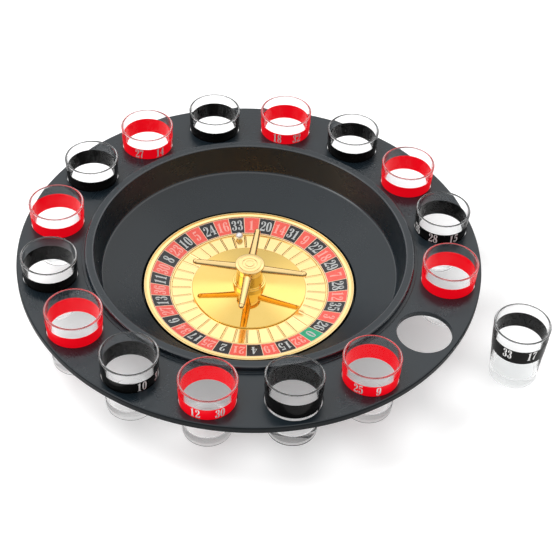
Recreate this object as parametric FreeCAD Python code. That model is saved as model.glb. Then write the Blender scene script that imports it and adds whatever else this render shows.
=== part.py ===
"""Tabletop roulette wheel with a ring of sixteen shot glasses.

Frame: millimetres, +Z up, origin on the wheel's axis in the plane that the bowl stands on.
Every sub-part is built in place and written to parts/NODE.step.
"""
import FreeCAD, Part
import math
import os

from FreeCAD import Placement, Rotation, Vector

# ---- driving dimensions (mm, degrees) -------------------------------------------------------
# cup rack: a flat ring plate with a turned-down edge and sixteen cup holes
RACK_RADIUS = 145.0
RACK_TOP = 39.0
RACK_PLATE = 3.2
RACK_EDGE_DEPTH = 4.4
RACK_EDGE_WALL = 2.4
RACK_EDGE_ROUNDING = 1.2
RACK_INNER_RADIUS = 100.3
RACK_COLLAR_DEPTH = 7.0
RACK_COLLAR_WALL = 2.6
CUP_COUNT = 16
CUP_CIRCLE_RADIUS = 124.7
CUP_HOLE_RADIUS = 16.7
CUP_HOLE_ROUNDING = 0.45
FREE_HOLE_AZIMUTH = -30.7

# bowl: a lip over the rack, a steep wall, a conical floor and a recess for the rotor
LIP_OUTER_RADIUS = 103.1
LIP_INNER_RADIUS = 97.5
LIP_HEIGHT = 4.0
WALL_FOOT_RADIUS = 93.8
WALL_FOOT_HEIGHT = 23.7
BOWL_THICKNESS = 2.4
RECESS_RADIUS = 68.6
RECESS_EDGE_HEIGHT = 10.0
RECESS_FLOOR = 2.8
FOOT_RING_INNER_RADIUS = 58.0
FOOT_RING_HEIGHT = 0.8
BOSS_RADIUS = 9.0
BOSS_TOP = 5.0
BOSS_UNDERSIDE = 3.0
NUT_POCKET_RADIUS = 7.2
SNAP_COUNT = 6
SNAP_WIDTH = 12.0
SNAP_LENGTH = 5.0
SNAP_REACH = 0.7
SNAP_GAP = 0.2

# spindle and what holds the rotor on it
SPINDLE_RADIUS = 2.0
SPINDLE_TOP = 15.0
SPINDLE_BOTTOM = 0.9
COLLAR_RADIUS = 4.0
COLLAR_TOP = 5.8
THRUST_WASHER_RADIUS = 5.0
THRUST_WASHER_TOP = 6.4
BUSH_BOTTOM = 6.5
BUSH_TOP = 13.4
BUSH_RADIUS = 3.5
RUNNING_CLEARANCE = 0.05
CLIP_BOTTOM = 13.6
CLIP_THICKNESS = 0.6
CLIP_RADIUS = 4.3
CLIP_MOUTH = 2.4
CLIP_GROOVE_DEPTH = 0.4
NUT_ACROSS_FLATS = 7.0
NUT_WASHER_RADIUS = 5.5
NUT_WASHER_THICKNESS = 0.5

# rotor: pan, number ring, pocket ring and polished cone
ROTOR_RADIUS = 67.4
NUMBER_OUTER_RADIUS = 63.6
NUMBER_OUTER_HEIGHT = 8.9
NUMBER_INNER_RADIUS = 50.8
NUMBER_INNER_HEIGHT = 5.9
NUMBER_FILM = 0.25
POCKET_COUNT = 37
POCKET_INNER_RADIUS = 36.9
POCKET_FLOOR = 5.3
POCKET_PLATE = 0.8
FRET_HEIGHT = 0.6
FRET_WIDTH = 1.0
ZERO_AZIMUTH = -44.9
CONE_RADIUS = 36.6
CONE_EDGE_HEIGHT = 6.4
CONE_RISE_PER_MM = 0.09
CONE_SHELL = 1.2
CONE_INNER_RADIUS = 9.2
HUB_RADIUS = 6.0
HUB_TOP = 13.0
PAN_UNDERSIDE = 3.6
PAN_WELL_INNER = 8.6
PAN_WELL_OUTER = 13.0
PAN_HUB_STEP = 8.2
PAN_HUB_STEP_RADIUS = 8.2
PAN_STEP_RADIUS = 14.0
RIM_UNDERSIDE = 7.2
RIM_UNDERSIDE_RADIUS = 66.2
RIM_EDGE_BOTTOM = 8.2
OUTER_BEAD_TOP = 10.3
OUTER_BEAD_INNER = 66.2
INNER_BEAD_TOP = 9.8
INNER_BEAD_OUTER = 65.9
BEAD_GROOVE_HEIGHT = 9.4
POCKET_EDGE_WIDTH = 1.25
POCKET_EDGE_HEIGHT = 0.9

# turret: flared column, four arms and a cap
TURRET_BASE_RADIUS = 10.6
TURRET_BASE_TOP = 12.2
TURRET_STEP_RADIUS = 9.5
TURRET_STEP_TOP = 12.8
TURRET_BODY_RADIUS = 8.7
TURRET_BODY_FOOT = 13.4
TURRET_CLIP_ROOM_RADIUS = 4.8
TURRET_CLIP_ROOM_TOP = 14.6
TURRET_PIN_ROOM_RADIUS = 2.6
ARM_HUB_RADIUS = 8.2
ARM_HUB_BOTTOM = 21.0
ARM_HUB_TOP = 25.6
ARM_UNDERSIDE = 22.5
ARM_REACH = 36.6
ARM_ROOT_RADIUS = 2.9
ARM_END_RADIUS = 2.0
ARM_BALL_RADIUS = 1.85
ARM_BALL_HEIGHT = 23.0
ARM_COUNT = 4
FIRST_ARM_AZIMUTH = 84.5
CAP_RADIUS = 9.3
CAP_TOP = 27.0
CAP_OUTER_RING = 7.4
CAP_GROOVE_OUTER = 6.8
CAP_GROOVE_INNER = 5.2
CAP_GROOVE_DEPTH = 0.6
CAP_INNER_RING_OUTER = 4.6
CAP_INNER_RING_INNER = 3.2
CAP_DISH_RADIUS = 2.6
CAP_DISH_DEPTH = 0.4
CAP_PIN_RADIUS = 1.2
CAP_PIN_GAP = 0.5
SPIGOT_RADIUS = 2.5

# ball, resting in one pocket
BALL_RADIUS = 2.4
BALL_CIRCLE_RADIUS = 46.6
BALL_AZIMUTH = 101.0
BALL_GAP = 0.1

# shot glasses: tapered, with a heavy base and a printed number band
GLASS_HEIGHT = 42.6
GLASS_RIM_RADIUS = 17.3
GLASS_BASE_RADIUS = 14.5
GLASS_WALL = 1.4
GLASS_BASE_THICKNESS = 6.8
GLASS_FOOT_RADIUS = 12.2
GLASS_FOOT_DISH_RADIUS = 11.0
GLASS_FOOT_DISH_DEPTH = 0.5
GLASS_SEAT = 11.7
BAND_TOP = 35.1
BAND_BOTTOM = 24.4
BAND_FILM = 0.15
LOOSE_GLASS_PLACE = (165.9, -56.0)
LEANING_GLASS = 2
LEAN_DEGREES = 5.0
LEAN_LIFT = 2.4

AXIS = Vector(0, 0, 1)
ORIGIN = Vector(0, 0, 0)


# ---- outlines and solids of revolution -------------------------------------------------------
def rounded_outline(corners):
    """Closed wire in the XZ plane; a corner is (radius, height) or (radius, height, rounding)."""
    points = [Vector(corner[0], 0, corner[1]) for corner in corners]
    roundings = [corner[2] if len(corner) > 2 else 0.0 for corner in corners]
    arrivals, departures, arcs = [], [], []
    for index, point in enumerate(points):
        before = points[index - 1] - point
        after = points[(index + 1) % len(points)] - point
        rounding = roundings[index]
        if rounding == 0.0:
            arrivals.append(point)
            departures.append(point)
            arcs.append(None)
            continue
        before.normalize()
        after.normalize()
        half_angle = before.getAngle(after) / 2
        setback = rounding / math.tan(half_angle)
        bisector = (before + after).normalize()
        centre = point + bisector * (rounding / math.sin(half_angle))
        arrivals.append(point + before * setback)
        departures.append(point + after * setback)
        arcs.append(centre - bisector * rounding)
    edges = []
    for index, middle in enumerate(arcs):
        if middle is not None:
            edges.append(Part.Arc(arrivals[index], middle, departures[index]).toShape())
        following = arrivals[(index + 1) % len(arcs)]
        if departures[index].distanceToPoint(following) > 1e-6:
            edges.append(Part.makeLine(departures[index], following))
    return Part.Wire(edges)


def turned(corners):
    """Solid of revolution about the Z axis from a closed outline."""
    return Part.Face(rounded_outline(corners)).revolve(ORIGIN, AXIS, 360)


def around_axis(shape, azimuth):
    """Copy of a shape turned about the Z axis."""
    copy = shape.copy()
    copy.rotate(ORIGIN, AXIS, azimuth)
    return copy


def polar(radius, azimuth, height):
    """Point at a radius and azimuth about the Z axis."""
    angle = math.radians(azimuth)
    return Vector(radius * math.cos(angle), radius * math.sin(angle), height)


def ring(inner, outer, bottom, top):
    """Plain washer shape."""
    outside = Part.makeCylinder(outer, top - bottom, Vector(0, 0, bottom))
    return outside.cut(Part.makeCylinder(inner, top - bottom, Vector(0, 0, bottom)))


# ---- fixed side ------------------------------------------------------------------------------
def hole_azimuth(place):
    """Azimuth of a cup hole, counted clockwise from the free one."""
    return FREE_HOLE_AZIMUTH - place * 360.0 / CUP_COUNT


def make_cup_rack():
    """Flat ring plate with cup holes, an edge turned down outside and a collar inside."""
    edge_bottom = RACK_TOP - RACK_EDGE_DEPTH
    underside = RACK_TOP - RACK_PLATE
    collar_bottom = RACK_TOP - RACK_COLLAR_DEPTH
    edge_inside = RACK_RADIUS - RACK_EDGE_WALL
    collar_outside = RACK_INNER_RADIUS + RACK_COLLAR_WALL
    rack = turned([
        (RACK_INNER_RADIUS, RACK_TOP),
        (RACK_INNER_RADIUS, collar_bottom),
        (collar_outside, collar_bottom),
        (collar_outside, underside),
        (edge_inside, underside),
        (edge_inside, edge_bottom),
        (RACK_RADIUS, edge_bottom, 0.5),
        (RACK_RADIUS, RACK_TOP, RACK_EDGE_ROUNDING),
    ])
    for place in range(CUP_COUNT):
        centre = polar(CUP_CIRCLE_RADIUS, hole_azimuth(place), underside - 1)
        rack = rack.cut(Part.makeCylinder(CUP_HOLE_RADIUS, RACK_PLATE + 2, centre))
    hole_edges = [edge for edge in rack.Edges
                  if isinstance(edge.Curve, Part.Circle)
                  and abs(edge.Curve.Radius - CUP_HOLE_RADIUS) < 1e-4
                  and abs(edge.Curve.Center.z - RACK_TOP) < 1e-4]
    return rack.makeFillet(CUP_HOLE_ROUNDING, hole_edges)


def make_bowl():
    """Bowl with its lip, wall, conical floor, rotor recess, foot ring and central boss."""
    floor_run = WALL_FOOT_RADIUS - RECESS_RADIUS
    floor_slope = (WALL_FOOT_HEIGHT - RECESS_EDGE_HEIGHT) / floor_run
    floor_drop = BOWL_THICKNESS * math.hypot(1, floor_slope)
    lip_top = RACK_TOP + LIP_HEIGHT
    wall_slope = (LIP_INNER_RADIUS - WALL_FOOT_RADIUS) / (lip_top - WALL_FOOT_HEIGHT)
    wall_shift = BOWL_THICKNESS * math.hypot(1, wall_slope)
    recess_outside = RECESS_RADIUS + BOWL_THICKNESS
    outside_foot = WALL_FOOT_RADIUS + wall_shift - wall_slope * 1.6
    wall_at_rack = WALL_FOOT_RADIUS + wall_shift + wall_slope * (RACK_TOP - WALL_FOOT_HEIGHT)

    def underside_at(radius):
        return RECESS_EDGE_HEIGHT + floor_slope * (radius - RECESS_RADIUS) - floor_drop

    bowl = turned([
        (SPINDLE_RADIUS, BOSS_UNDERSIDE),
        (NUT_POCKET_RADIUS, BOSS_UNDERSIDE),
        (NUT_POCKET_RADIUS, FOOT_RING_HEIGHT),
        (FOOT_RING_INNER_RADIUS, FOOT_RING_HEIGHT),
        (FOOT_RING_INNER_RADIUS, 0),
        (recess_outside, 0, 1.2),
        (recess_outside, underside_at(recess_outside), 1.5),
        (outside_foot, underside_at(outside_foot), 3.0),
        (wall_at_rack, RACK_TOP),
        (LIP_OUTER_RADIUS, RACK_TOP),
        (LIP_OUTER_RADIUS, lip_top, 1.2),
        (LIP_INNER_RADIUS, lip_top, 1.0),
        (WALL_FOOT_RADIUS, WALL_FOOT_HEIGHT, 2.5),
        (RECESS_RADIUS, RECESS_EDGE_HEIGHT, 0.6),
        (RECESS_RADIUS, RECESS_FLOOR, 0.8),
        (BOSS_RADIUS, RECESS_FLOOR, 0.8),
        (BOSS_RADIUS, BOSS_TOP, 0.4),
        (SPINDLE_RADIUS, BOSS_TOP),
    ])
    return bowl.fuse(make_snap_ribs(wall_at_rack)).removeSplitter()


def make_snap_ribs(wall_at_rack):
    """Short wedges on the bowl's outside that catch under the rack's collar."""
    catch = RACK_TOP - RACK_COLLAR_DEPTH - SNAP_GAP
    inside = wall_at_rack - BOWL_THICKNESS - 0.2
    outside = RACK_INNER_RADIUS + SNAP_REACH
    wedge = turned([
        (inside, catch),
        (inside, catch - SNAP_LENGTH),
        (inside + 1.0, catch - SNAP_LENGTH),
        (outside, catch - 1.0),
        (outside, catch),
    ])
    corner = Vector(0, -SNAP_WIDTH / 2, catch - SNAP_LENGTH)
    rib = wedge.common(Part.makeBox(RACK_RADIUS, SNAP_WIDTH, SNAP_LENGTH, corner))
    ribs = [around_axis(rib, index * 360.0 / SNAP_COUNT) for index in range(SNAP_COUNT)]
    return Part.makeCompound(ribs)


def make_spindle():
    """Shouldered steel pin: threaded stud below, collar on the boss, groove for the clip."""
    groove_radius = SPINDLE_RADIUS - CLIP_GROOVE_DEPTH
    groove_top = CLIP_BOTTOM + CLIP_THICKNESS
    return turned([
        (0, SPINDLE_BOTTOM),
        (SPINDLE_RADIUS, SPINDLE_BOTTOM, 0.3),
        (SPINDLE_RADIUS, BOSS_TOP),
        (COLLAR_RADIUS, BOSS_TOP),
        (COLLAR_RADIUS, COLLAR_TOP, 0.2),
        (SPINDLE_RADIUS, COLLAR_TOP),
        (SPINDLE_RADIUS, CLIP_BOTTOM),
        (groove_radius, CLIP_BOTTOM),
        (groove_radius, groove_top),
        (SPINDLE_RADIUS, groove_top),
        (SPINDLE_RADIUS, SPINDLE_TOP, 0.4),
        (0, SPINDLE_TOP),
    ])


def make_spindle_washer():
    """Flat washer between the bowl's boss and the nut."""
    bottom = BOSS_UNDERSIDE - NUT_WASHER_THICKNESS
    return ring(SPINDLE_RADIUS, NUT_WASHER_RADIUS, bottom, BOSS_UNDERSIDE)


def make_spindle_nut():
    """Thin hexagon nut in the pocket under the bowl."""
    top = BOSS_UNDERSIDE - NUT_WASHER_THICKNESS
    bottom = SPINDLE_BOTTOM
    corner_radius = NUT_ACROSS_FLATS / math.sqrt(3)
    corners = [polar(corner_radius, index * 60, bottom) for index in range(7)]
    prism = Part.Face(Part.makePolygon(corners)).extrude(Vector(0, 0, top - bottom))
    return prism.cut(Part.makeCylinder(SPINDLE_RADIUS, top - bottom, Vector(0, 0, bottom)))


def make_thrust_washer():
    """Slippery plastic washer that the rotor's bush runs on."""
    return ring(SPINDLE_RADIUS, THRUST_WASHER_RADIUS, COLLAR_TOP, THRUST_WASHER_TOP)


def make_retaining_clip():
    """Open steel clip in the spindle's groove, which keeps the rotor down."""
    inner = SPINDLE_RADIUS - CLIP_GROOVE_DEPTH
    clip = ring(inner, CLIP_RADIUS, CLIP_BOTTOM, CLIP_BOTTOM + CLIP_THICKNESS)
    corner = Vector(0, -CLIP_MOUTH / 2, CLIP_BOTTOM)
    mouth = Part.makeBox(CLIP_RADIUS + 1, CLIP_MOUTH, CLIP_THICKNESS, corner)
    return clip.cut(mouth)


# ---- rotor -----------------------------------------------------------------------------------
def make_rotor_pan():
    """Moulded pan: beaded rim, sloping number seat, flat pocket seat and a hub sleeve."""
    seat = POCKET_FLOOR - POCKET_PLATE
    well = BUSH_BOTTOM + 0.2
    return turned([
        (BUSH_RADIUS, well),
        (PAN_WELL_INNER, well, 0.8),
        (PAN_WELL_OUTER, PAN_UNDERSIDE, 0.8),
        (NUMBER_INNER_RADIUS, PAN_UNDERSIDE, 2.0),
        (NUMBER_OUTER_RADIUS, RIM_UNDERSIDE, 1.0),
        (RIM_UNDERSIDE_RADIUS, RIM_UNDERSIDE, 0.5),
        (ROTOR_RADIUS, RIM_EDGE_BOTTOM, 0.5),
        (ROTOR_RADIUS, OUTER_BEAD_TOP, 0.6),
        (OUTER_BEAD_INNER, OUTER_BEAD_TOP, 0.5),
        (OUTER_BEAD_INNER, BEAD_GROOVE_HEIGHT),
        (INNER_BEAD_OUTER, BEAD_GROOVE_HEIGHT),
        (INNER_BEAD_OUTER, INNER_BEAD_TOP, 0.35),
        (NUMBER_OUTER_RADIUS, INNER_BEAD_TOP, 0.6),
        (NUMBER_OUTER_RADIUS, NUMBER_OUTER_HEIGHT),
        (NUMBER_INNER_RADIUS, NUMBER_INNER_HEIGHT),
        (NUMBER_INNER_RADIUS, seat),
        (PAN_STEP_RADIUS, seat, 1.5),
        (PAN_HUB_STEP_RADIUS, PAN_HUB_STEP, 1.0),
        (HUB_RADIUS, PAN_HUB_STEP),
        (HUB_RADIUS, HUB_TOP, 0.4),
        (BUSH_RADIUS, HUB_TOP),
    ])


def make_number_ring():
    """Printed film ring that lies on the pan's sloping seat."""
    slope = ((NUMBER_OUTER_HEIGHT - NUMBER_INNER_HEIGHT)
             / (NUMBER_OUTER_RADIUS - NUMBER_INNER_RADIUS))
    inner = NUMBER_INNER_RADIUS + 0.15
    outer = NUMBER_OUTER_RADIUS - 0.15

    def seat_height(radius):
        return NUMBER_INNER_HEIGHT + slope * (radius - NUMBER_INNER_RADIUS)

    return turned([
        (inner, seat_height(inner)),
        (outer, seat_height(outer)),
        (outer, seat_height(outer) + NUMBER_FILM),
        (inner, seat_height(inner) + NUMBER_FILM),
    ])


def make_pocket_ring():
    """Ring of pockets: a flat plate, a rounded outer edge and one fret between pockets."""
    bottom = POCKET_FLOOR - POCKET_PLATE
    edge_outside = NUMBER_INNER_RADIUS - 0.05
    edge_inside = edge_outside - POCKET_EDGE_WIDTH
    edge_top = POCKET_FLOOR + POCKET_EDGE_HEIGHT
    plate = turned([
        (POCKET_INNER_RADIUS, bottom),
        (edge_outside, bottom),
        (edge_outside, edge_top, 0.5),
        (edge_inside, edge_top, 0.4),
        (edge_inside, POCKET_FLOOR),
        (POCKET_INNER_RADIUS, POCKET_FLOOR),
    ])
    fret_start = POCKET_INNER_RADIUS + 0.3
    fret_end = edge_inside + 0.3
    fret_bottom = bottom + 0.2
    corner = Vector(fret_start, -FRET_WIDTH / 2, fret_bottom)
    rise = POCKET_FLOOR + FRET_HEIGHT - fret_bottom
    fret = Part.makeBox(fret_end - fret_start, FRET_WIDTH, rise, corner)
    step = 360.0 / POCKET_COUNT
    frets = [around_axis(fret, ZERO_AZIMUTH + (index + 0.5) * step)
             for index in range(POCKET_COUNT)]
    return plate.fuse(frets).removeSplitter()


def cone_height(radius):
    """Height of the polished cone's upper surface."""
    return CONE_EDGE_HEIGHT + CONE_RISE_PER_MM * (CONE_RADIUS - radius)


def make_cone_disc():
    """Polished conical cover, a thin shell with a short edge wall."""
    foot = POCKET_FLOOR - POCKET_PLATE
    wall_inside = CONE_RADIUS - CONE_SHELL
    return turned([
        (CONE_RADIUS, foot),
        (CONE_RADIUS, CONE_EDGE_HEIGHT, 0.3),
        (CONE_INNER_RADIUS, cone_height(CONE_INNER_RADIUS)),
        (CONE_INNER_RADIUS, cone_height(CONE_INNER_RADIUS) - CONE_SHELL),
        (wall_inside, cone_height(wall_inside) - CONE_SHELL),
        (wall_inside, foot),
    ])


def make_hub_bush():
    """Brass bush pressed in the hub, running on the spindle."""
    return ring(SPINDLE_RADIUS + RUNNING_CLEARANCE, BUSH_RADIUS, BUSH_BOTTOM, BUSH_TOP)


def make_turret_column():
    """Stepped column pressed over the hub sleeve, with a spigot for the arms and the cap."""
    pin_room_top = SPINDLE_TOP + 0.4
    sleeve_room_top = HUB_TOP + 0.1
    return turned([
        (0, pin_room_top),
        (TURRET_PIN_ROOM_RADIUS, pin_room_top),
        (TURRET_PIN_ROOM_RADIUS, TURRET_CLIP_ROOM_TOP),
        (TURRET_CLIP_ROOM_RADIUS, TURRET_CLIP_ROOM_TOP),
        (TURRET_CLIP_ROOM_RADIUS, sleeve_room_top),
        (HUB_RADIUS, sleeve_room_top),
        (HUB_RADIUS, PAN_HUB_STEP),
        (PAN_HUB_STEP_RADIUS, PAN_HUB_STEP),
        (CONE_INNER_RADIUS, cone_height(CONE_INNER_RADIUS)),
        (TURRET_BASE_RADIUS, cone_height(TURRET_BASE_RADIUS)),
        (TURRET_BASE_RADIUS, TURRET_BASE_TOP, 0.25),
        (TURRET_STEP_RADIUS, TURRET_BASE_TOP, 0.2),
        (TURRET_STEP_RADIUS, TURRET_STEP_TOP, 0.25),
        (TURRET_BODY_RADIUS, TURRET_STEP_TOP, 0.2),
        (TURRET_BODY_RADIUS, TURRET_BODY_FOOT, 0.3),
        (ARM_HUB_RADIUS, ARM_HUB_BOTTOM, 0.2),
        (SPIGOT_RADIUS, ARM_HUB_BOTTOM),
        (SPIGOT_RADIUS, ARM_HUB_TOP),
        (CAP_PIN_RADIUS, ARM_HUB_TOP),
        (CAP_PIN_RADIUS, ARM_HUB_BOTTOM),
        (0, ARM_HUB_BOTTOM),
    ])


def make_turret_arms():
    """Hub ring with tapered half-round arms, each ending in a small ball."""
    hub = turned([
        (SPIGOT_RADIUS, ARM_HUB_BOTTOM),
        (ARM_HUB_RADIUS, ARM_HUB_BOTTOM, 0.2),
        (ARM_HUB_RADIUS, ARM_HUB_TOP, 0.3),
        (SPIGOT_RADIUS, ARM_HUB_TOP),
    ])
    root = ARM_HUB_RADIUS - 2.0
    ball_centre = ARM_REACH - ARM_BALL_RADIUS
    rod = Part.makeCone(ARM_ROOT_RADIUS, ARM_END_RADIUS, ball_centre - root,
                        Vector(root, 0, ARM_UNDERSIDE), Vector(1, 0, 0))
    upper_half = Part.makeBox(ARM_REACH, 2 * ARM_HUB_RADIUS, ARM_HUB_RADIUS,
                              Vector(0, -ARM_HUB_RADIUS, ARM_UNDERSIDE))
    ball = Part.makeSphere(ARM_BALL_RADIUS, Vector(ball_centre, 0, ARM_BALL_HEIGHT))
    arm = rod.common(upper_half).fuse(ball)
    step = 360.0 / ARM_COUNT
    arms = [around_axis(arm, FIRST_ARM_AZIMUTH + index * step) for index in range(ARM_COUNT)]
    return hub.fuse(arms)


def make_turret_cap():
    """Round cap with two raised rings and a pin that presses in the column's spigot."""
    pin_end = ARM_HUB_BOTTOM + CAP_PIN_GAP
    groove = CAP_TOP - CAP_GROOVE_DEPTH
    return turned([
        (0, pin_end),
        (CAP_PIN_RADIUS, pin_end),
        (CAP_PIN_RADIUS, ARM_HUB_TOP),
        (CAP_RADIUS, ARM_HUB_TOP, 0.3),
        (CAP_RADIUS, CAP_TOP - 0.3, 0.5),
        (CAP_OUTER_RING, CAP_TOP - 0.1, 0.3),
        (CAP_GROOVE_OUTER, groove, 0.2),
        (CAP_GROOVE_INNER, groove, 0.2),
        (CAP_INNER_RING_OUTER, CAP_TOP, 0.3),
        (CAP_INNER_RING_INNER, CAP_TOP, 0.3),
        (CAP_DISH_RADIUS, CAP_TOP - CAP_DISH_DEPTH, 0.2),
        (0, CAP_TOP - CAP_DISH_DEPTH / 2),
    ])


def make_ball():
    """Steel ball in its pocket."""
    height = POCKET_FLOOR + BALL_GAP + BALL_RADIUS
    return Part.makeSphere(BALL_RADIUS, polar(BALL_CIRCLE_RADIUS, BALL_AZIMUTH, height))


# ---- shot glasses ----------------------------------------------------------------------------
def glass_radius(height):
    """Outside radius of a glass at a height above its base."""
    taper = (GLASS_RIM_RADIUS - GLASS_BASE_RADIUS) / GLASS_HEIGHT
    return GLASS_BASE_RADIUS + taper * height


def make_glass():
    """Tapered glass with a thick clear base, standing at the origin."""
    return turned([
        (0, GLASS_FOOT_DISH_DEPTH),
        (GLASS_FOOT_DISH_RADIUS, GLASS_FOOT_DISH_DEPTH, 1.5),
        (GLASS_FOOT_RADIUS, 0, 0.4),
        (GLASS_BASE_RADIUS, 0, 1.3),
        (GLASS_RIM_RADIUS, GLASS_HEIGHT, 0.55),
        (GLASS_RIM_RADIUS - GLASS_WALL, GLASS_HEIGHT, 0.55),
        (glass_radius(GLASS_BASE_THICKNESS) - GLASS_WALL, GLASS_BASE_THICKNESS, 2.2),
        (0, GLASS_BASE_THICKNESS),
    ])


def make_band():
    """Printed band, a thin conical sleeve on the outside of a glass."""
    return turned([
        (glass_radius(BAND_BOTTOM), BAND_BOTTOM),
        (glass_radius(BAND_TOP), BAND_TOP),
        (glass_radius(BAND_TOP) + BAND_FILM, BAND_TOP),
        (glass_radius(BAND_BOTTOM) + BAND_FILM, BAND_BOTTOM),
    ])


def glass_placement(number):
    """Where a glass stands: in its hole, or beside the rack for the last one."""
    if number == CUP_COUNT:
        return Placement(Vector(*LOOSE_GLASS_PLACE, 0), Rotation())
    base = polar(CUP_CIRCLE_RADIUS, hole_azimuth(number), GLASS_SEAT)
    if number != LEANING_GLASS:
        return Placement(base, Rotation())
    pivot_height = RACK_TOP - RACK_PLATE / 2 - GLASS_SEAT
    lean = Rotation(Vector(1, 0, 0), -LEAN_DEGREES)
    lifted = base + Vector(0, 0, LEAN_LIFT)
    return Placement(lifted, lean, Vector(0, 0, pivot_height - LEAN_LIFT))


# ---- build and export ------------------------------------------------------------------------
def build():
    """All sub-parts by node name."""
    nodes = {
        "cup_rack": make_cup_rack(),
        "bowl": make_bowl(),
        "spindle": make_spindle(),
        "spindle_washer": make_spindle_washer(),
        "spindle_nut": make_spindle_nut(),
        "thrust_washer": make_thrust_washer(),
        "retaining_clip": make_retaining_clip(),
        "rotor_pan": make_rotor_pan(),
        "number_ring": make_number_ring(),
        "pocket_ring": make_pocket_ring(),
        "cone_disc": make_cone_disc(),
        "hub_bush": make_hub_bush(),
        "turret_column": make_turret_column(),
        "turret_arms": make_turret_arms(),
        "turret_cap": make_turret_cap(),
        "ball": make_ball(),
    }
    glass = make_glass()
    band = make_band()
    for number in range(1, CUP_COUNT + 1):
        placement = glass_placement(number)
        for name, shape in (("shot_glass", glass), ("number_band", band)):
            placed = shape.copy()
            placed.Placement = placement
            nodes[f"{name}_{number:02d}"] = placed
    return nodes


def main():
    os.makedirs("parts", exist_ok=True)
    for name, shape in build().items():
        valid = shape.isValid() and all(solid.isValid() for solid in shape.Solids)
        print(f"{name}: solids {len(shape.Solids)}, volume {shape.Volume:.1f} mm3, valid {valid}")
        shape.exportStep(f"parts/{name}.step")


main()
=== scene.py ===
"""Looks of the tabletop roulette wheel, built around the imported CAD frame.

Lengths in the outlines are millimetres in the part's own frame; meshes are in metres.
"""
import math

import bmesh
import bpy
from mathutils import Matrix, Vector
from mathutils.geometry import delaunay_2d_cdt


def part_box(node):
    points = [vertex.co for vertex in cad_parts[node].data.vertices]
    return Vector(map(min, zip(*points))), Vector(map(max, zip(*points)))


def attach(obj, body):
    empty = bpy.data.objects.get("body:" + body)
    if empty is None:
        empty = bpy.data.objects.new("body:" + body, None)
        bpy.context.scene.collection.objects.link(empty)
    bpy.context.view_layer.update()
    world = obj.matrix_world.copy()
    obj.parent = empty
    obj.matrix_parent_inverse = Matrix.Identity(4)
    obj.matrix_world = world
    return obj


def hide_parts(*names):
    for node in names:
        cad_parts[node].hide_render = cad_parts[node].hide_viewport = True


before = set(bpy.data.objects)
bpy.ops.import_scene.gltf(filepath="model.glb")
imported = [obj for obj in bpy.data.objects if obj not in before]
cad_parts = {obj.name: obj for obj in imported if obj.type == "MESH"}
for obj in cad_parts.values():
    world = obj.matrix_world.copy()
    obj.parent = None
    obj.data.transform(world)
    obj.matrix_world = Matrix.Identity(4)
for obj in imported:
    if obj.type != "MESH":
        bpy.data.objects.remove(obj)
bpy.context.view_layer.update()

MM = 0.001
TURN = 2 * math.pi
ROUND = 320

# ---- sizes (mm, degrees) ----------------------------------------------------------------------
# Sizes that the CAD names too have its values, but the frets are lower and wider here.
RACK_TOP = 39.0
RACK_UNDERSIDE = 35.8
RACK_RADIUS = 145.0
RACK_INNER_RADIUS = 100.3
RACK_EDGE_BOTTOM = 34.6
RACK_EDGE_INSIDE = 142.6
COLLAR_BOTTOM = 32.0
COLLAR_OUTSIDE = 102.9
CUP_COUNT = 16
CUP_CIRCLE_RADIUS = 124.7
CUP_HOLE_RADIUS = 16.7
CUP_HOLE_ROUNDING = 0.45
FREE_HOLE_AZIMUTH = -30.7
WALL_FOOT = (93.8, 23.7)
LIP_INSIDE = (97.5, 43.0)
LIP_OUTSIDE = (103.1, 43.0)

POCKET_COUNT = 37
POCKET_STEP = 360.0 / POCKET_COUNT
ZERO_AZIMUTH = -44.9
# The number ring's edges, each 0.15 mm inside the CAD's radius.
NUMBER_INNER = (50.95, 5.94)
NUMBER_OUTER = (63.45, 8.86)
NUMBER_MIDDLE = 57.2
NUMBER_FILM = 0.25
NUMBER_LINE = 0.42
NUMBER_BORDER = 0.35
NUMERAL_HEIGHT = 7.7
NUMERAL_SQUEEZE = 0.93
POCKET_FLOOR = 5.3
FRET_INNER = 37.3
FRET_OUTER = 49.8
FRET_HEIGHT = 0.5
FRET_WIDTH = 1.7

ARM_UNDERSIDE = 22.5
ARM_FLATTENING = 0.65
ARM_BALL_HEIGHT = 23.0
FIRST_ARM_AZIMUTH = 84.5
ARM_COUNT = 4
BALL_RADIUS = 2.4

GLASS_HEIGHT = 42.6
GLASS_RIM_RADIUS = 17.3
GLASS_BASE_RADIUS = 14.5
GLASS_SEAT = 11.7
GLASS_RIM_DEPTH = 0.6
BAND_TOP = 35.1
BAND_BOTTOM = 24.4
BAND_FILM = 0.15
BAND_SUNK = 0.03
BAND_NUMERAL_MIDDLE = 31.0
BAND_NUMERAL_HEIGHT = 7.0
BAND_NUMERAL_SQUEEZE = 0.80
NUMERAL_SUNK = -0.05
LOOSE_GLASS_PLACE = (165.9, -56.0)
LEANING_GLASS = 2
LEAN_DEGREES = 5.0
LEAN_LIFT = 2.4
# The stage's floor, in metres.
FLOOR_REACH = 30
FLOOR_DROP = 0.0001

WHEEL_ORDER = (0, 32, 15, 19, 4, 21, 2, 25, 17, 34, 6, 27, 13, 36, 11, 30, 8, 23, 10,
               5, 24, 16, 33, 1, 20, 14, 31, 9, 22, 18, 29, 7, 28, 12, 35, 3, 26)
# Material slots of the number ring, in the order that make_number_ring lists them.
RED_PAINT, BLACK_PAINT, GREEN_PAINT, LINE_PAINT, PINK_INK, GREY_INK = range(6)
RED_NUMBERS = {1, 3, 5, 7, 9, 12, 14, 16, 18, 19, 21, 23, 25, 27, 30, 32, 34, 36}

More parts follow.
